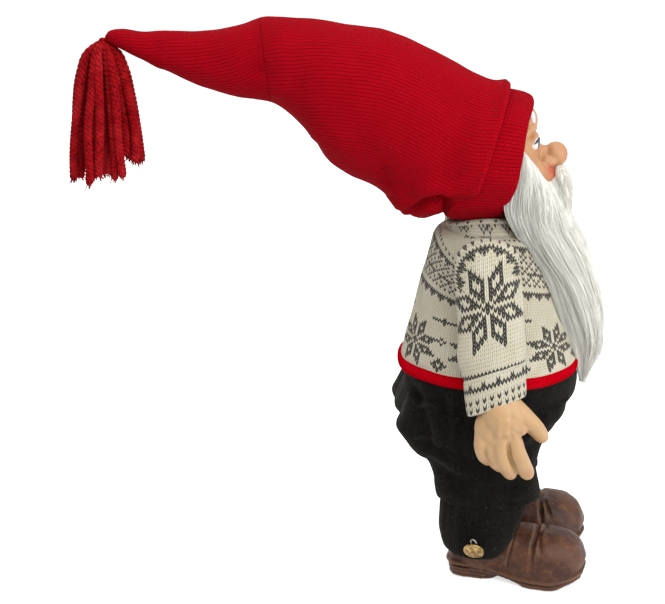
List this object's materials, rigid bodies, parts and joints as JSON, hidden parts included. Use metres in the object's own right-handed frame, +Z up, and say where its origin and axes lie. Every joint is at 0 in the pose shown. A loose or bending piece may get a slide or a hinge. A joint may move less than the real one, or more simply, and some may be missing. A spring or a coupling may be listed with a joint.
{
  "type": "santa figure",
  "caption": "Free-standing santa doll with a long stuffed knitted cap, yarn tassel, fibre beard, sweater, baggy trousers and cast shoes; head, cap, tassel, arms and hands move",
  "frame": {"origin": "on the floor, under the middle of the figure's overall box", "axes": "+Z is up, +X is the way the figure faces, +Y is the figure's left side; the cap and its tassel reach back along -X"},
  "size_m": [0.3272, 0.171, 0.3442],
  "materials": {
    "cap_knit": "crimson fine stocking-stitch knit",
    "tassel_yarn": "dull red plied yarn",
    "hem_tape": "bright red twill tape",
    "sweater_knit": "cream and black stranded knit",
    "trouser_wool": "black felted wool cloth",
    "beard_fibre": "long straight white fibre",
    "skin_vinyl": "matt painted moulded vinyl",
    "eye_gloss": "glossy dark eye",
    "shoe_cast": "cast shoe painted as worn brown leather",
    "button_brass": "aged brass",
    "wood_rod": "plain beech dowel",
    "arm_steel": "plain wire",
    "stuffing": "stuffed calico body form"
  },
  "bodies": {
    "torso": {"torso_core": "stuffing", "neck_post": "wood_rod", "sweater_body": "sweater_knit", "sweater_collar": "sweater_knit", "sweater_hem_tape": "hem_tape", "trouser_seat": "trouser_wool", "right_trouser_leg": "trouser_wool", "right_cuff_band": "trouser_wool", "right_cuff_button": "button_brass", "right_leg_rod": "wood_rod", "right_shoe": "shoe_cast", "left_trouser_leg": "trouser_wool", "left_cuff_band": "trouser_wool", "left_cuff_button": "button_brass", "left_leg_rod": "wood_rod", "left_shoe": "shoe_cast"},
    "head": {"head_shell": "skin_vinyl", "right_eye": "eye_gloss", "left_eye": "eye_gloss", "beard": "beard_fibre", "moustache": "beard_fibre", "cap_crown": "cap_knit", "cap_brim": "cap_knit"},
    "cap_tail": {"cap_tail": "cap_knit"},
    "cap_tip": {"cap_tip": "cap_knit"},
    "tassel": {"tassel": "tassel_yarn", "tassel_tie": "tassel_yarn"},
    "right_arm": {"right_sleeve": "sweater_knit", "right_sleeve_cuff": "sweater_knit", "right_arm_wire": "arm_steel"},
    "right_hand": {"right_hand": "skin_vinyl"},
    "left_arm": {"left_sleeve": "sweater_knit", "left_sleeve_cuff": "sweater_knit", "left_arm_wire": "arm_steel"},
    "left_hand": {"left_hand": "skin_vinyl"}
  },
  "joints": [
    {"name": "head_turn", "type": "hinge", "parent": "torso", "child": "head", "pos_m": [0.09145, 0, 0.23], "axis": [0, 0, 1], "range_deg": [-20, 20]},
    {"name": "cap_bend", "type": "hinge", "parent": "head", "child": "cap_tail", "pos_m": [0.00642, 0, 0.29608], "axis": [0, 1, 0], "range_deg": [-25, 15]},
    {"name": "cap_tip_bend", "type": "hinge", "parent": "cap_tail", "child": "cap_tip", "pos_m": [-0.0826, 0, 0.3205], "axis": [0, 1, 0], "range_deg": [-40, 25]},
    {"name": "tassel_swing", "type": "hinge", "parent": "cap_tip", "child": "tassel", "pos_m": [-0.13955, 0, 0.33315], "axis": [0, 1, 0], "range_deg": [-10, 45]},
    {"name": "right_arm_swing", "type": "hinge", "parent": "torso", "child": "right_arm", "pos_m": [0.08745, -0.04012, 0.205], "axis": [0, -0.9722, 0.2342], "range_deg": [-30, 80]},
    {"name": "left_arm_swing", "type": "hinge", "parent": "torso", "child": "left_arm", "pos_m": [0.08745, 0.04012, 0.205], "axis": [0, -0.9722, -0.2342], "range_deg": [-30, 80]},
    {"name": "right_wrist_turn", "type": "hinge", "parent": "right_arm", "child": "right_hand", "pos_m": [0.09245, -0.07104, 0.13428], "axis": [-0.0656, 0.2337, 0.9701], "range_deg": [-25, 25]},
    {"name": "left_wrist_turn", "type": "hinge", "parent": "left_arm", "child": "left_hand", "pos_m": [0.09245, 0.07104, 0.13428], "axis": [-0.0656, -0.2337, 0.9701], "range_deg": [-25, 25]}
  ]
}
